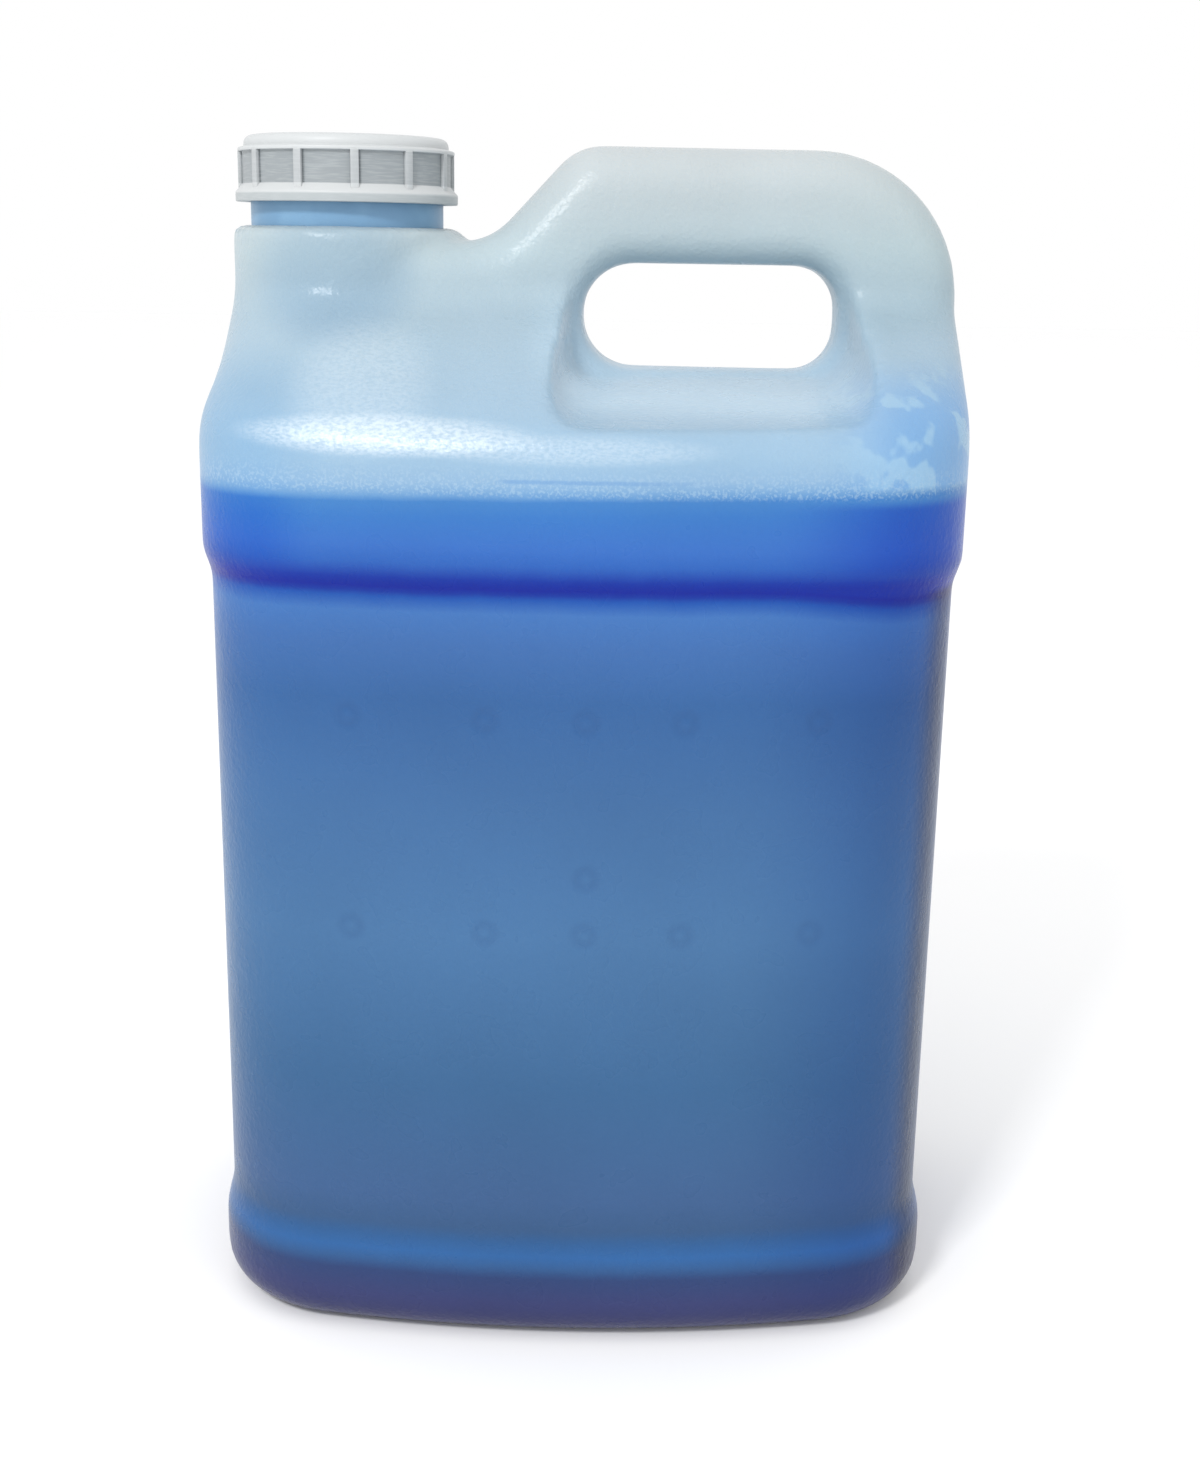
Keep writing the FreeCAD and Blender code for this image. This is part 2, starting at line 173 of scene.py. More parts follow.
# Camera, at the place and angle of the photograph
cameraSettings = {
    "place": (0.0065, -0.626, 0.349), "pitch": 15.0, "roll": 1.0, "lens": 45.31, "sensor": 36.0,
    "clipStart": 0.01}


def makeCamera(settings):
    data = bpy.data.cameras.new("photoCamera")
    data.lens = settings["lens"]
    data.sensor_width = settings["sensor"]
    data.clip_start = settings["clipStart"]
    camera = bpy.data.objects.new("photoCamera", data)
    bpy.context.scene.collection.objects.link(camera)
    pitch = math.radians(settings["pitch"])
    roll = math.radians(settings["roll"])
    forward = Vector((0.0, math.cos(pitch), -math.sin(pitch)))
    level = Vector((1.0, 0.0, 0.0))
    upright = level.cross(forward)
    right = level * math.cos(roll) + upright * math.sin(roll)
    up = upright * math.cos(roll) - level * math.sin(roll)
    turn = Matrix((right, up, -forward)).transposed().to_4x4()
    camera.matrix_world = Matrix.Translation(settings["place"]) @ turn
    bpy.context.scene.camera = camera


makeCamera(cameraSettings)
print("camera placed")

# Floor, backdrop and lights
stageSettings = {
    "floorSize": 8.0, "floorColour": linear(255, 255, 255), "floorRoughness": 0.8, "floorSpecular": 0.2,
    "worldColour": (1.0, 1.0, 1.0, 1.0), "worldStrength": 1.0}
lightSettings = {
    "key": {"place": (-0.55, -1.15, 1.25), "aim": (0.0, 0.0, 0.2), "size": (0.3, 0.24), "power": 13.0},
    "fill": {"place": (1.3, -1.2, 0.9), "aim": (0.0, 0.0, 0.2), "size": (1.0, 1.2), "power": 1.5}}


def makeStage(settings):
    bm = bmesh.new()
    bmesh.ops.create_grid(bm, x_segments=1, y_segments=1, size=settings["floorSize"])
    mesh = bpy.data.meshes.new("floor")
    bm.to_mesh(mesh)
    bm.free()
    floor = bpy.data.objects.new("floor", mesh)
    bpy.context.scene.collection.objects.link(floor)
    material = newMaterial("paleFloor")
    tree = material.node_tree
    shader = addNode(tree, "ShaderNodeBsdfPrincipled", 0, 0)
    shader.inputs["Base Color"].default_value = settings["floorColour"]
    shader.inputs["Roughness"].default_value = settings["floorRoughness"]
    shader.inputs["Specular IOR Level"].default_value = settings["floorSpecular"]
    output = addNode(tree, "ShaderNodeOutputMaterial", 300, 0)
    tree.links.new(shader.outputs[0], output.inputs[0])
    mesh.materials.append(material)
    world = bpy.data.worlds.new("paleRoom")
    world.use_nodes = True
    background = world.node_tree.nodes["Background"]
    background.inputs[0].default_value = settings["worldColour"]
    background.inputs[1].default_value = settings["worldStrength"]
    bpy.context.scene.world = world


def makeLights(settings):
    for name, one in settings.items():
        data = bpy.data.lights.new(name, "AREA")
        data.shape = "RECTANGLE"
        data.size, data.size_y = one["size"]
        data.energy = one["power"]
        lamp = bpy.data.objects.new(name, data)
        bpy.context.scene.collection.objects.link(lamp)
        place = Vector(one["place"])
        aim = (Vector(one["aim"]) - place).normalized()
        lamp.matrix_world = Matrix.Translation(place) @ aim.to_track_quat("-Z", "Y").to_matrix().to_4x4()


makeStage(stageSettings)
makeLights(lightSettings)
bpy.context.scene.view_settings.view_transform = "Standard"
print("stage lit")


# Modelling helpers
def copyOfNode(name):
    bm = bmesh.new()
    bm.from_mesh(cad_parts[name].data)
    bmesh.ops.remove_doubles(bm, verts=bm.verts, dist=mergeDistance)
    return bm


def newPiece(name, bm, smoothAngle=None):
    mesh = bpy.data.meshes.new(name)
    bmesh.ops.recalc_face_normals(bm, faces=bm.faces)
    bm.to_mesh(mesh)
    bm.free()
    piece = bpy.data.objects.new(name, mesh)
    bpy.context.scene.collection.objects.link(piece)
    if smoothAngle is not None:
        for polygon in mesh.polygons:
            polygon.use_smooth = True
        mesh.set_sharp_from_angle(angle=math.radians(smoothAngle))
    return piece


def applyModifiers(piece):
    depsgraph = bpy.context.evaluated_depsgraph_get()
    mesh = bpy.data.meshes.new_from_object(piece.evaluated_get(depsgraph))
    piece.modifiers.clear()
    old = piece.data
    piece.data = mesh
    bpy.data.meshes.remove(old)
    mesh.name = piece.name


def roundedProfile(corners, segments):
    # Corners are (radius from the axis, height, rounding); the ends stay as they are.
    points = []
    for index, (radius, height, rounding) in enumerate(corners):
        here = Vector((radius, height))
        if rounding == 0.0 or index in (0, len(corners) - 1):
            points.append(here)
            continue
        before = (Vector(corners[index - 1][:2]) - here).normalized()
        after = (Vector(corners[index + 1][:2]) - here).normalized()
        half = before.angle(after) / 2
        center = here + (before + after).normalized() * rounding / math.sin(half)
        start = here + before * rounding / math.tan(half) - center
        stop = here + after * rounding / math.tan(half) - center
        turn = start.angle_signed(stop)
        for step in range(segments + 1):
            points.append(center + Matrix.Rotation(-turn * step / segments, 2) @ start)
    return points


def revolve(bm, points, steps, closed):
    verts = [bm.verts.new((neckX + point.x, 0.0, point.y)) for point in points]
    edges = [bm.edges.new(pair) for pair in zip(verts, verts[1:])]
    if closed:
        edges.append(bm.edges.new((verts[-1], verts[0])))
    bmesh.ops.spin(bm, geom=verts + edges, cent=(neckX, 0, 0), axis=(0, 0, 1), angle=math.tau,
                   steps=steps, use_merge=True)
    bmesh.ops.remove_doubles(bm, verts=bm.verts, dist=mergeDistance)


# Thread of the neck and the cap
threadSettings = {
    "lead": 0.00635, "depth": 0.0015, "rootWidth": 0.0024, "crestWidth": 0.0012, "embed": 0.0003,
    "stepsPerTurn": 72, "runOutSteps": 9, "drop": 0.0024}


def addThread(bm, settings, radius, outward, top, turns):
    # A helical rib that thins out at both ends; its root lies just inside the wall.
    sign = 1.0 if outward else -1.0
    halfRoot = settings["rootWidth"] / 2
    halfCrest = settings["crestWidth"] / 2
    low = top - turns * settings["lead"]
    root = radius - sign * settings["embed"]
    crest = radius + sign * settings["depth"]
    corners = [(root, -halfRoot), (crest, -halfCrest), (crest, halfCrest), (root, halfRoot)]
    verts = [bm.verts.new((neckX + reach, 0.0, low + rise)) for reach, rise in corners]
    face = bm.faces.new(verts)
    before = len(bm.verts)
    steps = round(turns * settings["stepsPerTurn"])
    geometry = verts + list(face.edges) + [face]
    bmesh.ops.spin(bm, geom=geometry, cent=(neckX, 0, 0), axis=(0, 0, 1), angle=math.tau * turns,
                   dvec=(0, 0, settings["lead"] * turns / steps), steps=steps)
    bm.verts.ensure_lookup_table()
    rings = [verts] + [bm.verts[before + 4 * step:before + 4 * step + 4] for step in range(steps)]
    for step, ring in enumerate(rings):
        share = min(step, steps - step) / settings["runOutSteps"]
        if share >= 1.0:
            continue
        for vert in ring:
            out = Vector((vert.co.x - neckX, vert.co.y))
            out = out.normalized() * (root + (out.length - root) * share)
            vert.co.x = neckX + out.x
            vert.co.y = out.y


# Moulded grain, shared by the plastics: a fine noise over a broader orange peel
def makeGrainGroup():
    group = bpy.data.node_groups.new("mouldedGrain", "ShaderNodeTree")
    for name in ("Grain Scale", "Grain Depth", "Peel Scale", "Peel Depth", "Extra Height"):
        group.interface.new_socket(name, in_out="INPUT", socket_type="NodeSocketFloat")
    group.interface.new_socket("Normal", in_out="OUTPUT", socket_type="NodeSocketVector")
    ins = addNode(group, "NodeGroupInput", -900, 0)
    outs = addNode(group, "NodeGroupOutput", 500, 0)
    coordinates = addNode(group, "ShaderNodeTexCoord", -900, 300)
    place = coordinates.outputs["Object"]
    grain = noiseValue(group, place, ins.outputs["Grain Scale"], 2.0, -600, 200)
    peel = noiseValue(group, place, ins.outputs["Peel Scale"], 1.0, -600, -100)
    grainHeight = mathNode(group, "MULTIPLY", grain, ins.outputs["Grain Depth"], -350, 200)
    peelHeight = mathNode(group, "MULTIPLY", peel, ins.outputs["Peel Depth"], -350, -100)
    height = mathNode(group, "ADD", grainHeight, peelHeight, -150, 100)
    height = mathNode(group, "ADD", height, ins.outputs["Extra Height"], 0, 100)
    bump = addNode(group, "ShaderNodeBump", 200, 0)
    bump.inputs["Strength"].default_value = 1.0
    bump.inputs["Distance"].default_value = 1.0
    group.links.new(height, bump.inputs["Height"])
    group.links.new(bump.outputs["Normal"], outs.inputs["Normal"])
    return group


grainGroup = makeGrainGroup()


def grainNormal(tree, settings, extraHeight=0.0):
    node = addNode(tree, "ShaderNodeGroup", 300, -300, node_tree=grainGroup)
    node.inputs["Grain Scale"].default_value = settings["grainScale"]
    node.inputs["Grain Depth"].default_value = settings["grainDepth"]
    node.inputs["Peel Scale"].default_value = settings["peelScale"]
    node.inputs["Peel Depth"].default_value = settings["peelDepth"]
    feed(tree, node.inputs["Extra Height"], extraHeight)
    return node.outputs["Normal"]


# Jug. A mask fades from 0 at the first value of its pair to 1 at the second.
jugSettings = {
    # Skin: the bottle's outer skin with its moulded blends softened
    "voxel": 0.00205, "softPasses": 7, "softFactor": 0.5, "cutAbove": 0.0006, "neckReach": 0.033,
    "wellRadius": 0.0277, "wellFloor": 0.2745,
    # Colour by height, from the base up: the liquid shows through the plastic; the bright stops from 0.0275
    # to 0.036 are painted light on the base's upward-facing bevel, the stops below them are darkened as
    # painted shade on the downward-facing heel, and the navy stops from 0.2465 to 0.252 are painted shadow
    # under the ledge
    "fillAndShadeTones": (
        (0.000, linear(36, 42, 90)), (0.007, linear(53, 56, 98)), (0.015, linear(53, 60, 106)),
        (0.024, linear(42, 63, 109)), (0.0275, linear(45, 85, 134)), (0.031, linear(43, 93, 150)),
        (0.036, linear(42, 85, 134)), (0.0395, linear(51, 83, 123)), (0.050, linear(56, 88, 131)),
        (0.090, linear(52, 93, 135)), (0.140, linear(64, 105, 148)), (0.180, linear(58, 99, 146)),
        (0.215, linear(47, 90, 143)), (0.232, linear(56, 98, 156)), (0.242, linear(59, 105, 167)),
        (0.2465, linear(17, 73, 156)), (0.2485, linear(1, 25, 136)), (0.252, linear(1, 40, 145)),
        (0.257, linear(39, 89, 167)), (0.262, linear(51, 101, 176)), (0.270, linear(52, 109, 177)),
        (0.2748, linear(62, 118, 178)), (0.2766, linear(104, 148, 190)), (0.280, linear(133, 166, 196)),
        (0.286, linear(142, 172, 196)), (0.300, linear(150, 176, 196)), (0.325, linear(155, 176, 189)),
        (0.345, linear(170, 186, 192)), (0.360, linear(174, 185, 189)), (0.378, linear(184, 190, 192))),
    "rampTop": 0.38, "toneGain": 0.935, "cloudScale": 14.0, "cloudAmount": 0.22,
    # The level's waver and lean, and the drop of the ledge's shadow towards the right
    "levelWaver": 0.0012, "waverScale": 90.0,
    "levelTilt": 0.017, "tiltFrom": -0.07, "tiltHeight": (0.26, 0.27),
    "ledgeHeight": 0.2505, "shadowDrop": 0.003, "shadowSide": (0.055, 0.1), "shadowHeight": (0.205, 0.225),
    # Regions by height, and their tints along X, several of them painted shade; the first is measured from
    # the liquid's level
    "belowLevel": (0.0015, -0.002), "aboveLedge": (0.2515, 0.257), "belowLedge": (0.249, 0.246),
    "upperHeight": (0.318, 0.328), "shoulderHeight": (0.320, 0.302), "cornerDepth": (0.035, 0.058),
    # The column patch is painted shade under the neck.
    "columnShadeMiddle": (neckX, 0.338), "columnShadeReach": (0.027, 0.022), "columnShadeFade": (1.3, 0.1),
    # Tints: the panel's is painted shade towards the right, away from the lamp; the panel corner's is a
    # painted dark reflection; the band's deepen the liquid towards the edges; the upper wall's and the
    # shoulder's darken towards the right and the left
    "tints": (
        ("band", (-0.076, -0.098), (0.45, 0.72, 0.95, 1.0)),
        ("band", (0.052, 0.1), (0.3, 0.5, 0.9, 1.0)),
        ("panel", (0.045, 0.1), (0.6, 0.72, 0.87, 1.0)),
        ("panelCornerReflection", (0.103, 0.113), (0.6, 0.45, 0.45, 1.0)),
        ("upper", (0.05, 0.11), (0.94, 0.95, 0.94, 1.0)),
        ("shoulder", (-0.07, -0.1), (0.78, 0.87, 0.94, 1.0)),
        ("column", (-0.03, -0.055), (0.77, 0.85, 0.93, 1.0))),
    # Film on the inner wall
    "filmBlue": linear(114, 159, 204), "filmPale": linear(142, 180, 210), "filmScale": 85.0,
    "filmContrast": (0.5, 0.58), "filmSide": (0.066, 0.1), "filmTop": (0.318, 0.299),
    "filmLow": (0.2785, 0.281), "filmAmount": 0.85,
    # Painted light in the pockets beside the finger hole
    "pocketGlowTone": linear(186, 210, 226), "pocketDepth": (0.078, 0.045), "pocketAmount": 0.6,
    "pocketSides": (
        ("Z", (0.342, 0.312)), ("Z", (0.292, 0.297)), ("X", (-0.022, 0.0)), ("X", (0.095, 0.07))),
    # Painted sheen on the shoulder: middle, reach and amount of each patch
    "glints": (
        ((-0.058, 0.2935), (0.048, 0.0065), 0.6), ((-0.066, 0.306), (0.024, 0.022), 0.2),
        ((-0.005, 0.2905), (0.05, 0.005), 0.24)),
    "glintTone": linear(226, 234, 238), "glintFade": (1.1, 0.05), "glintFront": (-0.03, -0.05),
    "glintScale": 650.0, "glintStretch": (1.0, 1.0, 2.2), "glintContrast": (0.3, 0.66),
    "glintSpeckle": 0.6, "glintEven": 0.35,
    # Froth, measured from the liquid's level, and the wet line in it
    "frothScale": 1200.0, "frothContrast": (0.48, 0.62), "frothColour": linear(172, 194, 208),
    "frothLow": (0.0005, 0.003), "frothHigh": (0.013, 0.003), "frothAmount": 0.32,
    "lineBlue": linear(96, 142, 190), "lineHeight": 0.2815, "lineFade": (0.0009, 0.0002),
    "lineStart": (-0.027, -0.02), "lineEnd": (0.045, 0.01), "lineAmount": 0.5,
    # Vent marks and parting line
    "ventColumns": (-0.070, -0.028, 0.0025, 0.0325, 0.073), "ventRows": (0.1415, 0.2093),
    "oddVent": (0.003, 0.1598), "ventRadius": 0.0042, "ventSoftness": 0.0014,
    "ventDark": linear(34, 66, 112), "ventAmount": 0.16, "ventDepth": 0.00015,
    "seamWidth": 0.0007, "seamHeight": 0.00025,
    # Surface
    "grainScale": 650.0, "grainDepth": 0.0002, "peelScale": 220.0, "peelDepth": 0.00016,
    "glossScale": 220.0 / 3, "roughnessLow": 0.24, "roughnessHigh": 0.32, "ior": 1.5, "specular": 0.2,
    "subsurface": 0.12, "subsurfaceRadius": (0.6, 0.8, 1.0), "subsurfaceScale": 0.006}


def keepOuterSkin(bm, settings):
    # Takes the neck off above the collar and keeps the outer skin alone.
    cut = collarTop + settings["cutAbove"]
    geometry = bm.verts[:] + bm.edges[:] + bm.faces[:]
    bmesh.ops.bisect_plane(bm, geom=geometry, plane_co=(0, 0, cut), plane_no=(0, 0, 1))
    doomed = []
    for face in bm.faces:
        middle = face.calc_center_median()
        if middle.z > cut and math.hypot(middle.x - neckX, middle.y) < settings["neckReach"]:
            doomed.append(face)
    bmesh.ops.delete(bm, geom=doomed, context="FACES")
    start = max(bm.verts, key=lambda vert: vert.co.x)
    seen = {start}
    queue = [start]
    while queue:
        for edge in queue.pop().link_edges:
            for vert in edge.verts:
                if vert not in seen:
                    seen.add(vert)
                    queue.append(vert)
    bmesh.ops.delete(bm, geom=[vert for vert in bm.verts if vert not in seen], context="VERTS")


def sinkWell(bm, settings):
    # Leads the open rim in to the neck's bore and down to the liquid, then closes it.
    radius = settings["wellRadius"]
    for height in (collarTop, settings["wellFloor"]):
        rim = [edge for edge in bm.edges if edge.is_boundary]
        made = bmesh.ops.extrude_edge_only(bm, edges=rim)["geom"]
        for vert in [item for item in made if isinstance(item, bmesh.types.BMVert)]:
            out = Vector((vert.co.x - neckX, vert.co.y)).normalized() * radius
            vert.co = (neckX + out.x, out.y, height)
    bmesh.ops.holes_fill(bm, edges=[edge for edge in bm.edges if edge.is_boundary])


def makeSkin(settings):
    bm = copyOfNode("bottle")
    keepOuterSkin(bm, settings)
    sinkWell(bm, settings)
    print("outer skin", len(bm.faces), "faces, open edges", sum(edge.is_boundary for edge in bm.edges))
    piece = newPiece("jugSkin", bm)
    remesh = piece.modifiers.new("evenMesh", "REMESH")
    remesh.mode = "VOXEL"
    remesh.voxel_size = settings["voxel"]
    soft = piece.modifiers.new("soften", "SMOOTH")
    soft.factor = settings["softFactor"]
    soft.iterations = settings["softPasses"]
    applyModifiers(piece)
    for polygon in piece.data.polygons:
        polygon.use_smooth = True
    print("skin remeshed", len(piece.data.polygons))
    return piece


def makeToneGroup(settings):
    # Colour by height, for the level as it leans and wavers and the shadow as it drops.
    group = bpy.data.node_groups.new("fillTone", "ShaderNodeTree")
    group.interface.new_socket("Level Waver", in_out="INPUT", socket_type="NodeSocketFloat")
    group.interface.new_socket("Color", in_out="OUTPUT", socket_type="NodeSocketColor")
    ins = addNode(group, "NodeGroupInput", -1600, -300)
    outs = addNode(group, "NodeGroupOutput", 400, 0)
    place, axes = objectPoint(group, -1600, 0)
    waver = noiseValue(group, place, settings["waverScale"], 3.0, -1200, -300)
    waver = mathNode(group, "SUBTRACT", waver, 0.5, -1000, -300)
    waver = mathNode(group, "MULTIPLY", waver, ins.outputs["Level Waver"], -850, -300)
    height = mathNode(group, "ADD", axes["Z"], waver, -700, -100)
    lean = mathNode(group, "SUBTRACT", axes["X"], settings["tiltFrom"], -1200, 500)
    nearLevel = smoothMask(group, axes["Z"], settings["tiltHeight"], -1200, 650)
    lean = product(group, (lean, settings["levelTilt"], nearLevel), -1050, 500)
    height = mathNode(group, "SUBTRACT", height, lean, -750, 500)
    side = smoothMask(group, axes["X"], settings["shadowSide"], -1200, 200)
    aboveHeel = smoothMask(group, axes["Z"], settings["shadowHeight"], -1200, 350)
    drop = product(group, (side, aboveHeel, settings["shadowDrop"]), -1000, 200)
    lowered = mathNode(group, "ADD", height, drop, -600, 200)
    lowered = mathNode(group, "MINIMUM", lowered, settings["ledgeHeight"], -450, 200)
    height = mathNode(group, "MAXIMUM", height, lowered, -300, 100)
    share = mathNode(group, "DIVIDE", height, settings["rampTop"], -150, 100)
    # The ramp's stops hold painted light on the base's bevel and painted shade on the heel and under the
    # ledge.
    ramp = addNode(group, "ShaderNodeValToRGB", 0, 100)
    stops = ramp.color_ramp.elements
    while len(stops) < len(settings["fillAndShadeTones"]):
        stops.new(1.0)
    for stop, (level, colour) in zip(stops, settings["fillAndShadeTones"]):
        stop.position = level / settings["rampTop"]
        stop.color = colour
    group.links.new(share, ramp.inputs[0])
    group.links.new(ramp.outputs["Color"], outs.inputs["Color"])
    return group


def shadeAndTintSides(tree, axes, colour, settings):
    # The liquid band looks deeper towards the upright edges. Painted shade darkens the panel towards the
    # right, away from the lamp, with a painted dark reflection on its right corner; the upper wall is a
    # little darker towards the right and the shoulder towards the left; a painted shade patch lies on the
    # column under the neck.
    belowLevel = smoothMask(tree, axes["Z"], shifted(liquidLevel, settings["belowLevel"]), -1500, -150)
    aboveLevel = mathNode(tree, "SUBTRACT", 1.0, belowLevel, -1350, -150)
    aboveLedge = smoothMask(tree, axes["Z"], settings["aboveLedge"], -1500, 0)
    belowLedge = smoothMask(tree, axes["Z"], settings["belowLedge"], -1500, 150)
    upper = smoothMask(tree, axes["Z"], settings["upperHeight"], -1500, 300)
    shoulder = smoothMask(tree, axes["Z"], settings["shoulderHeight"], -1500, 450)
    fromMiddle = mathNode(tree, "ABSOLUTE", axes["Y"], None, -1500, 600)
    corner = smoothMask(tree, fromMiddle, settings["cornerDepth"], -1350, 600)
    regions = {
        "band": product(tree, (aboveLedge, belowLevel), -1200, 0),
        "panel": belowLedge,
        "panelCornerReflection": product(tree, (corner, belowLedge), -1200, 600),
        "upper": upper,
        "shoulder": product(tree, (shoulder, aboveLevel), -1200, 450),
        "column": ellipseMask(tree, axes, settings["columnShadeMiddle"], settings["columnShadeReach"],
                              settings["columnShadeFade"], -1800, -1100)}
    for index, (region, side, tint) in enumerate(settings["tints"]):
        reach = smoothMask(tree, axes["X"], side, -1000, 300 + 150 * index)
        share = product(tree, (regions[region], reach), -850, 300 + 150 * index)
        colour = mixColour(tree, share, colour, tint, -700 + 60 * index, 300, "MULTIPLY")
    return colour


def addFilm(tree, place, axes, colour, settings):
    # Liquid left on the inner wall, above the level at the right: blue, with pale lobed patches.
    patches = noiseValue(tree, place, settings["filmScale"], 2.0, -1200, 1500)
    patches = smoothMask(tree, patches, settings["filmContrast"], -1000, 1500)
    tone = mixColour(tree, patches, settings["filmBlue"], settings["filmPale"], -800, 1500)
    side = smoothMask(tree, axes["X"], settings["filmSide"], -1200, 1650)
    top = smoothMask(tree, axes["Z"], settings["filmTop"], -1200, 1800)
    low = smoothMask(tree, axes["Z"], settings["filmLow"], -1200, 1950)
    share = product(tree, (side, top, low, settings["filmAmount"]), -800, 1700)
    return mixColour(tree, share, colour, tone, -300, 300)


def paintPocketGlow(tree, axes, colour, settings):
    # Painted light: the pockets beside the finger hole are painted paler, as if light shone through the
    # plastic there.
    fromMiddle = mathNode(tree, "ABSOLUTE", axes["Y"], None, -1400, 3000)
    masks = [smoothMask(tree, fromMiddle, settings["pocketDepth"], -1200, 3000)]
    for index, (axis, ends) in enumerate(settings["pocketSides"]):
        masks.append(smoothMask(tree, axes[axis], ends, -1200, 3150 + 150 * index))
    share = product(tree, (*masks, settings["pocketAmount"]), -1000, 3000)
    return mixColour(tree, share, colour, settings["pocketGlowTone"], -250, 300)


def addGlints(tree, place, axes, colour, settings):
    # Painted highlight: the grained plastic's sheen is painted where the shoulder turns towards the light.
    speckle = stretchedNoise(tree, place, settings["glintStretch"], settings["glintScale"], 3.0, -1600, 4200)
    speckle = smoothMask(tree, speckle, settings["glintContrast"], -1200, 4200)
    speckle = mathNode(tree, "MULTIPLY", speckle, settings["glintSpeckle"], -1050, 4200)
    speckle = mathNode(tree, "ADD", speckle, settings["glintEven"], -900, 4200)
    front = smoothMask(tree, axes["Y"], settings["glintFront"], -900, 4000)
    for index, (middle, reach, amount) in enumerate(settings["glints"]):
        y = 4500 + 350 * index
        patch = ellipseMask(tree, axes, middle, reach, settings["glintFade"], -1400, y)
        share = product(tree, (patch, front, speckle, amount), -600, y)
        colour = mixColour(tree, share, colour, settings["glintTone"], -230, 300)
    return colour


def addFroth(tree, place, axes, colour, settings):
    # Froth along the liquid's edge.
    froth = noiseValue(tree, place, settings["frothScale"], 2.0, -1200, 2100)
    froth = smoothMask(tree, froth, settings["frothContrast"], -1000, 2100)
    low = smoothMask(tree, axes["Z"], shifted(liquidLevel, settings["frothLow"]), -1200, 2250)
    high = smoothMask(tree, axes["Z"], shifted(liquidLevel, settings["frothHigh"]), -1200, 2400)
    share = product(tree, (froth, low, high, settings["frothAmount"]), -800, 2100)
    return mixColour(tree, share, colour, settings["frothColour"], -200, 300)


def addWetLine(tree, axes, colour, settings):
    # A short level line in the froth.
    offset = mathNode(tree, "SUBTRACT", axes["Z"], settings["lineHeight"], -1200, 2550)
    offset = mathNode(tree, "ABSOLUTE", offset, None, -1050, 2550)
    line = smoothMask(tree, offset, settings["lineFade"], -900, 2550)
    start = smoothMask(tree, axes["X"], settings["lineStart"], -900, 2700)
    end = smoothMask(tree, axes["X"], settings["lineEnd"], -900, 2850)
    share = product(tree, (line, start, end, settings["lineAmount"]), -750, 2600)
    return mixColour(tree, share, colour, settings["lineBlue"], -100, 300)


def addClouding(tree, place, colour, settings):
    # Slow clouding of the whole surface.
    cloud = noiseValue(tree, place, settings["cloudScale"], 3.0, -600, 900)
    cloud = mathNode(tree, "SUBTRACT", cloud, 0.5, -400, 900)
    cloud = mathNode(tree, "MULTIPLY", cloud, settings["cloudAmount"], -250, 900)
    cloud = mathNode(tree, "ADD", cloud, settings["toneGain"], -100, 900)
    shade = addNode(tree, "ShaderNodeCombineColor", 50, 900)
    for socket in shade.inputs[:3]:
        tree.links.new(cloud, socket)
    return mixColour(tree, 1.0, colour, shade.outputs[0], 150, 300, "MULTIPLY")


def ventMask(tree, axes, settings):
    # Small rings, the marks of the mould's vents.
    flat = addNode(tree, "ShaderNodeCombineXYZ", -1300, -700)
    tree.links.new(axes["X"], flat.inputs["X"])
    tree.links.new(axes["Z"], flat.inputs["Z"])
    spots = [(column, row) for row in settings["ventRows"] for column in settings["ventColumns"]]
    nearest = 1.0
    for index, (column, row) in enumerate(spots + [settings["oddVent"]]):
        far = addNode(tree, "ShaderNodeVectorMath", -1100, -700 - 60 * index, operation="DISTANCE")
        tree.links.new(flat.outputs[0], far.inputs[0])
        far.inputs[1].default_value = (column, 0.0, row)
        nearest = mathNode(tree, "MINIMUM", far.outputs["Value"], nearest, -900, -700 - 60 * index)
    radius = settings["ventRadius"]
    soft = settings["ventSoftness"]
    inside = smoothMask(tree, nearest, (radius + soft, radius - soft), -700, -700)
    core = smoothMask(tree, nearest, (radius - soft, radius - 3 * soft), -700, -900)
    return mathNode(tree, "SUBTRACT", inside, core, -500, -800)


def seamMask(tree, axes, settings):
    # The parting line, in the middle of the jug's depth.
    fromMiddle = mathNode(tree, "ABSOLUTE", axes["Y"], None, -900, -450)
    return smoothMask(tree, fromMiddle, (settings["seamWidth"], settings["seamWidth"] / 4), -700, -450)


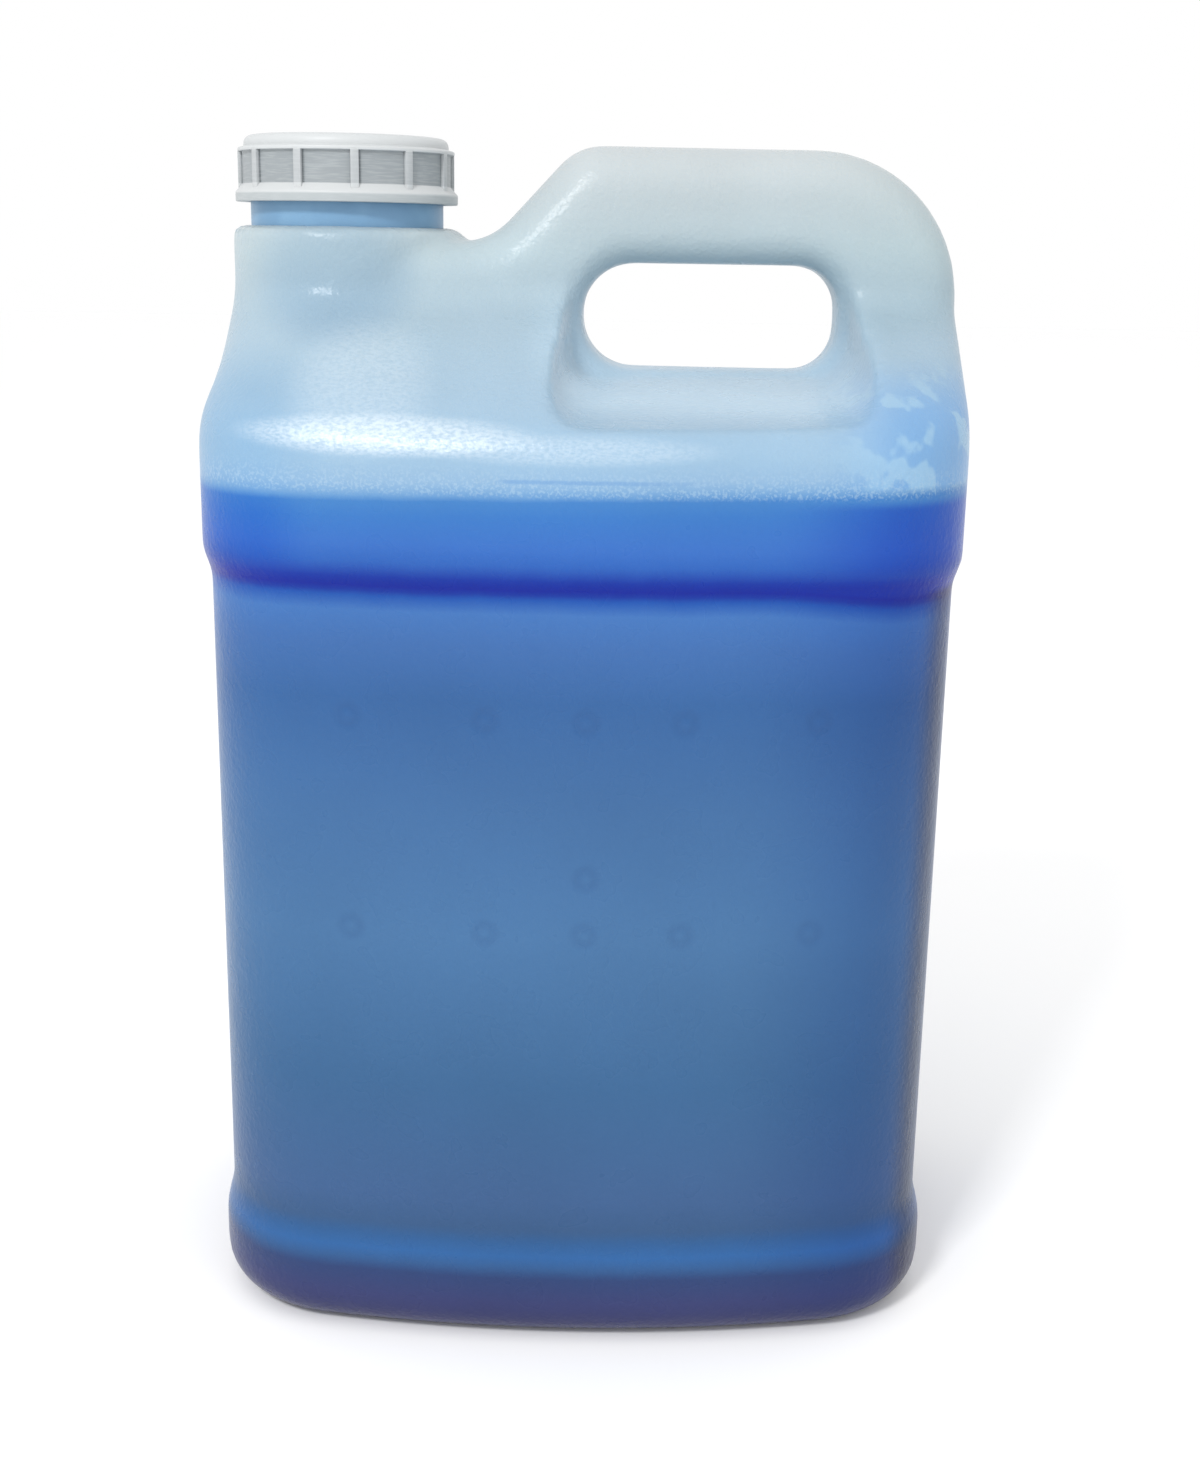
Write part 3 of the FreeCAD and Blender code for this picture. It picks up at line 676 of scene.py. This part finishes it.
def makeJugMaterial(settings):
    material = newMaterial("jugPlastic")
    tree = material.node_tree
    place, axes = objectPoint(tree)
    tone = addNode(tree, "ShaderNodeGroup", -900, 300, node_tree=makeToneGroup(settings))
    tone.inputs["Level Waver"].default_value = settings["levelWaver"]
    colour = shadeAndTintSides(tree, axes, tone.outputs["Color"], settings)
    colour = addFilm(tree, place, axes, colour, settings)
    colour = paintPocketGlow(tree, axes, colour, settings)
    colour = addGlints(tree, place, axes, colour, settings)
    colour = addFroth(tree, place, axes, colour, settings)
    colour = addWetLine(tree, axes, colour, settings)
    colour = addClouding(tree, place, colour, settings)
    vents = ventMask(tree, axes, settings)
    ventShare = mathNode(tree, "MULTIPLY", vents, settings["ventAmount"], -300, -800)
    colour = mixColour(tree, ventShare, colour, settings["ventDark"], 350, 300)
    ventHeight = mathNode(tree, "MULTIPLY", vents, -settings["ventDepth"], -300, -700)
    seam = seamMask(tree, axes, settings)
    seamHeight = mathNode(tree, "MULTIPLY", seam, settings["seamHeight"], -500, -450)
    extraHeight = mathNode(tree, "ADD", ventHeight, seamHeight, -100, -600)
    gloss = addNode(tree, "ShaderNodeMapRange", 300, -100)
    tree.links.new(noiseValue(tree, place, settings["glossScale"], 2.0, 100, -100), gloss.inputs["Value"])
    gloss.inputs["To Min"].default_value = settings["roughnessLow"]
    gloss.inputs["To Max"].default_value = settings["roughnessHigh"]
    plasticShader(material, colour, grainNormal(tree, settings, extraHeight), gloss.outputs[0], settings)
    return material


skin = makeSkin(jugSettings)
skin.data.materials.append(makeJugMaterial(jugSettings))
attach(skin, "jug")
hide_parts("bottle")
print("jug skin done")

# Neck finish: base ring, threaded wall, land and bore
neckSettings = {
    "steps": 128, "roundSteps": 4, "smoothAngle": 35, "rootRadius": 0.02975, "boreRadius": 0.0275,
    "ringRadius": 0.0308, "ringTop": 0.0076, "ringSlope": 0.0006, "edgeRound": 0.0004, "rooting": 0.0008,
    "threadTurns": 1.4,
    "tone": linear(112, 150, 182), "upperTone": linear(150, 172, 186), "toneFade": (0.0, 0.006),
    "cloudTone": linear(150, 188, 216), "cloudAmount": 0.25,
    "cloudScale": 60.0, "cloudContrast": (0.35, 0.65),
    "grainScale": 1500.0, "grainDepth": 0.00004, "peelScale": 300.0, "peelDepth": 0.00008,
    "roughness": 0.36, "ior": 1.5, "specular": 0.25,
    "subsurface": 0.12, "subsurfaceRadius": (0.6, 0.8, 1.0), "subsurfaceScale": 0.004}


def makeNeck(settings):
    bottom = collarTop - settings["rooting"]
    ringTop = collarTop + settings["ringTop"]
    edge = settings["edgeRound"]
    corners = [
        (settings["boreRadius"], bottom, 0.0), (settings["ringRadius"], bottom, 0.0),
        (settings["ringRadius"], ringTop, edge),
        (settings["rootRadius"], ringTop + settings["ringSlope"], edge),
        (settings["rootRadius"], landHeight, edge), (settings["boreRadius"], landHeight, 0.0)]
    bm = bmesh.new()
    revolve(bm, roundedProfile(corners, settings["roundSteps"]), settings["steps"], True)
    addThread(bm, threadSettings, settings["rootRadius"], True, landHeight - threadSettings["drop"],
              settings["threadTurns"])
    return newPiece("neckFinish", bm, settings["smoothAngle"])


def makeNeckMaterial(settings):
    material = newMaterial("neckPlastic")
    tree = material.node_tree
    place, axes = objectPoint(tree)
    ringTop = collarTop + settings["ringTop"]
    upper = smoothMask(tree, axes["Z"], shifted(ringTop, settings["toneFade"]), -1200, 100)
    colour = mixColour(tree, upper, settings["tone"], settings["upperTone"], -900, 100)
    cloud = noiseValue(tree, place, settings["cloudScale"], 2.0, -1200, -100)
    cloud = smoothMask(tree, cloud, settings["cloudContrast"], -1000, -100)
    cloud = mathNode(tree, "MULTIPLY", cloud, settings["cloudAmount"], -800, -100)
    colour = mixColour(tree, cloud, colour, settings["cloudTone"], -600, 100)
    plasticShader(material, colour, grainNormal(tree, settings), settings["roughness"], settings)
    return material


neck = makeNeck(neckSettings)
neck.data.materials.append(makeNeckMaterial(neckSettings))
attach(neck, "jug")
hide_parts("bottle")
print("neck done")

# Screw cap: flange, ledge, ribbed band, rim and a domed disc
capSettings = {
    "steps": 144, "roundSteps": 5, "smoothAngle": 32,
    "boreRadius": 0.03165, "flangeRadius": 0.0355, "flangeHeight": 0.003,
    "ledgeHeight": 0.0025, "panelRadius": 0.0332, "panelHeight": 0.0098,
    "rimRadius": 0.0345, "rimHeight": 0.0015, "rimSlope": 0.0004,
    "discRadius": 0.0326, "discFoot": 0.0001, "topWall": 0.0021, "threadTurns": 1.2,
    "rounding": {
        "disc": 0.0026, "discFoot": 0.0002, "rim": 0.0005, "rimFoot": 0.0003, "panelTop": 0.0003,
        "panelFoot": 0.0004, "ledge": 0.0005, "flange": 0.0004, "bore": 0.0003, "ceiling": 0.0002},
    "ribCount": 12, "ribWidth": 0.0026, "ribPhase": 11.5, "ribBevel": 0.00035, "ribRoot": 0.0008,
    "ribFoot": 0.0002, "ribHead": 0.0006,
    # Fades of the tones, measured from the panels' radius and from the three heights of the cap
    "panelFade": (0.0005, 0.0002), "ledgeFade": (-0.0002, 0.0002), "topFade": (0.0001, -0.0002),
    "flangeFade": (-0.0002, -0.0008), "creaseFade": (0.03, 0.0),
    # Lit and shaded tones of the one white plastic: painted light on the upper faces, painted shade on the
    # ribs, the flange and the recessed panels, and a painted shadow crease beside each rib
    "shadeTone": linear(140, 146, 149), "ribShadeTone": linear(166, 170, 172),
    "flangeShadeTone": linear(164, 170, 172), "litTone": linear(188, 191, 192),
    "creaseShadowTone": linear(92, 98, 102), "streakTone": linear(190, 194, 196), "streakAmount": 0.2,
    "streakStretch": (1.0, 1.0, 14.0), "streakScale": 160.0, "streakContrast": (0.4, 0.7),
    "grainScale": 2200.0, "grainDepth": 0.00003, "peelScale": 500.0, "peelDepth": 0.00005,
    "roughness": 0.42, "ior": 1.48, "specular": 0.4,
    "subsurface": 0.1, "subsurfaceRadius": (1.0, 1.0, 1.0), "subsurfaceScale": 0.002}


def capHeights(settings):
    # Heights of the flange's top, the ledge's top and the panels' top.
    flangeTop = capLow[2] + settings["flangeHeight"]
    ledgeTop = flangeTop + settings["ledgeHeight"]
    return flangeTop, ledgeTop, ledgeTop + settings["panelHeight"]


def capProfile(settings):
    low = capLow[2]
    top = capHigh[2]
    flangeTop, ledgeTop, panelTop = capHeights(settings)
    rimTop = panelTop + settings["rimHeight"]
    inside = top - settings["topWall"]
    disc = settings["discRadius"]
    rim = settings["rimRadius"]
    panel = settings["panelRadius"]
    flange = settings["flangeRadius"]
    bore = settings["boreRadius"]
    rounding = settings["rounding"]
    return [
        (0.0, top, 0.0), (disc, top, rounding["disc"]),
        (disc, rimTop + settings["discFoot"], rounding["discFoot"]),
        (rim, rimTop - settings["rimSlope"], rounding["rim"]), (rim, panelTop, rounding["rimFoot"]),
        (panel, panelTop, rounding["panelTop"]), (panel, ledgeTop, rounding["panelFoot"]),
        (flange, flangeTop, rounding["ledge"]), (flange, low, rounding["flange"]),
        (bore, low, rounding["bore"]), (bore, inside, rounding["ceiling"]), (0.0, inside, 0.0)]


def addRibs(bm, settings):
    flangeTop, _, panelTop = capHeights(settings)
    foot = flangeTop + settings["ribFoot"]
    head = panelTop + settings["ribHead"]
    inner = settings["panelRadius"] - settings["ribRoot"]
    outer = settings["rimRadius"]
    for index in range(settings["ribCount"]):
        made = bmesh.ops.create_cube(bm, size=1.0)["verts"]
        scale = Matrix.Diagonal((outer - inner, settings["ribWidth"], head - foot, 1.0))
        shift = Matrix.Translation(((inner + outer) / 2, 0.0, (foot + head) / 2))
        angle = math.radians(settings["ribPhase"]) + math.tau * index / settings["ribCount"]
        turn = Matrix.Translation((neckX, 0, 0)) @ Matrix.Rotation(angle, 4, "Z")
        bmesh.ops.transform(bm, matrix=turn @ shift @ scale, verts=made)
        edges = list({edge for vert in made for edge in vert.link_edges})
        bmesh.ops.bevel(bm, geom=edges, offset=settings["ribBevel"], segments=2, profile=0.5,
                        affect="EDGES", material=-1)


def makeCap(settings):
    bm = bmesh.new()
    revolve(bm, roundedProfile(capProfile(settings), settings["roundSteps"]), settings["steps"], False)
    addRibs(bm, settings)
    threadTop = landHeight - threadSettings["drop"] - threadSettings["lead"] / 2
    addThread(bm, threadSettings, settings["boreRadius"], False, threadTop, settings["threadTurns"])
    return newPiece("capShell", bm, settings["smoothAngle"])


def creaseMask(tree, axes, fromAxis, settings):
    # A crease of shadow beside every rib, on its right at the front.
    pitch = math.tau / settings["ribCount"]
    edge = math.radians(settings["ribPhase"]) + settings["ribWidth"] / 2 / settings["panelRadius"]
    around = mathNode(tree, "ARCTAN2", axes["Y"], fromAxis, -1200, 700)
    around = mathNode(tree, "SUBTRACT", around, edge - math.tau, -1050, 700)
    around = mathNode(tree, "MODULO", around, pitch, -900, 700)
    return smoothMask(tree, around, settings["creaseFade"], -750, 700)


def makeCapMaterial(settings):
    material = newMaterial("capPlastic")
    tree = material.node_tree
    place, axes = objectPoint(tree)
    flangeTop, ledgeTop, panelTop = capHeights(settings)
    fromAxis = mathNode(tree, "SUBTRACT", axes["X"], neckX, -1400, 200)
    flat = addNode(tree, "ShaderNodeCombineXYZ", -1200, 200)
    tree.links.new(fromAxis, flat.inputs["X"])
    tree.links.new(axes["Y"], flat.inputs["Y"])
    radius = addNode(tree, "ShaderNodeVectorMath", -1000, 200, operation="LENGTH")
    tree.links.new(flat.outputs[0], radius.inputs[0])
    panelEnds = shifted(settings["panelRadius"], settings["panelFade"])
    inward = smoothMask(tree, radius.outputs["Value"], panelEnds, -800, 200)
    above = smoothMask(tree, axes["Z"], shifted(ledgeTop, settings["ledgeFade"]), -800, 0)
    below = smoothMask(tree, axes["Z"], shifted(panelTop, settings["topFade"]), -800, -150)
    band = mathNode(tree, "MULTIPLY", above, below, -600, -50)
    panel = product(tree, (inward, above, below), -600, 100)
    crease = mathNode(tree, "MULTIPLY", creaseMask(tree, axes, fromAxis, settings), panel, -600, 700)
    flange = smoothMask(tree, axes["Z"], shifted(flangeTop, settings["flangeFade"]), -600, -200)
    # Painted light and shade: the upper faces lit, the flange, the ribs and the recessed panels in painted
    # shade, and a painted shadow crease beside each rib.
    colour = mixColour(tree, flange, settings["litTone"], settings["flangeShadeTone"], -300, 200)
    colour = mixColour(tree, band, colour, settings["ribShadeTone"], -200, 200)
    colour = mixColour(tree, panel, colour, settings["shadeTone"], -100, 200)
    colour = mixColour(tree, crease, colour, settings["creaseShadowTone"], 0, 200)
    # Faint level streaks.
    streak = stretchedNoise(tree, place, settings["streakStretch"], settings["streakScale"], 2.0, -1000, 500)
    streak = smoothMask(tree, streak, settings["streakContrast"], -600, 500)
    streak = mathNode(tree, "MULTIPLY", streak, settings["streakAmount"], -400, 500)
    colour = mixColour(tree, streak, colour, settings["streakTone"], 100, 200)
    plasticShader(material, colour, grainNormal(tree, settings), settings["roughness"], settings)
    return material


cap = makeCap(capSettings)
cap.data.materials.append(makeCapMaterial(capSettings))
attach(cap, "closure")
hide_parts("cap")
print("cap done", len(cap.data.polygons))

# Foam wad and liquid keep their CAD solids
foamSettings = {
    "light": linear(240, 240, 236), "dark": linear(214, 214, 208),
    "cellScale": 900.0, "cellContrast": (0.2, 0.7),
    "grainScale": 2500.0, "grainDepth": 0.00006, "peelScale": 700.0, "peelDepth": 0.0001,
    "roughness": 0.8, "ior": 1.45, "specular": 0.2,
    "subsurface": 0.1, "subsurfaceRadius": (1.0, 1.0, 1.0), "subsurfaceScale": 0.002}
liquidSettings = {
    "light": linear(64, 128, 208), "dark": linear(28, 72, 178), "depthFade": (0.0, -0.1),
    "grainScale": 20.0, "grainDepth": 0.00002, "peelScale": 40.0, "peelDepth": 0.00002,
    "roughness": 0.08, "ior": 1.36, "specular": 0.5,
    "subsurface": 0.0, "subsurfaceRadius": (0.3, 0.6, 1.0), "subsurfaceScale": 0.01}


def makeFoamMaterial(settings):
    material = newMaterial("foam")
    tree = material.node_tree
    place = objectPoint(tree)[0]
    cells = addNode(tree, "ShaderNodeTexVoronoi", -900, 200)
    cells.inputs["Scale"].default_value = settings["cellScale"]
    tree.links.new(place, cells.inputs["Vector"])
    mask = smoothMask(tree, cells.outputs["Distance"], settings["cellContrast"], -700, 200)
    colour = mixColour(tree, mask, settings["light"], settings["dark"], -500, 200)
    plasticShader(material, colour, grainNormal(tree, settings), settings["roughness"], settings)
    return material


def makeLiquidMaterial(settings):
    material = newMaterial("detergent")
    tree = material.node_tree
    axes = objectPoint(tree)[1]
    depth = smoothMask(tree, axes["Z"], shifted(liquidLevel, settings["depthFade"]), -900, 200)
    colour = mixColour(tree, depth, settings["light"], settings["dark"], -700, 200)
    plasticShader(material, colour, grainNormal(tree, settings), settings["roughness"], settings)
    return material


def dress(name, material):
    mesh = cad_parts[name].data
    mesh.materials.clear()
    mesh.materials.append(material)


dress("cap_liner", makeFoamMaterial(foamSettings))
dress("detergent", makeLiquidMaterial(liquidSettings))
print("wad and liquid dressed")
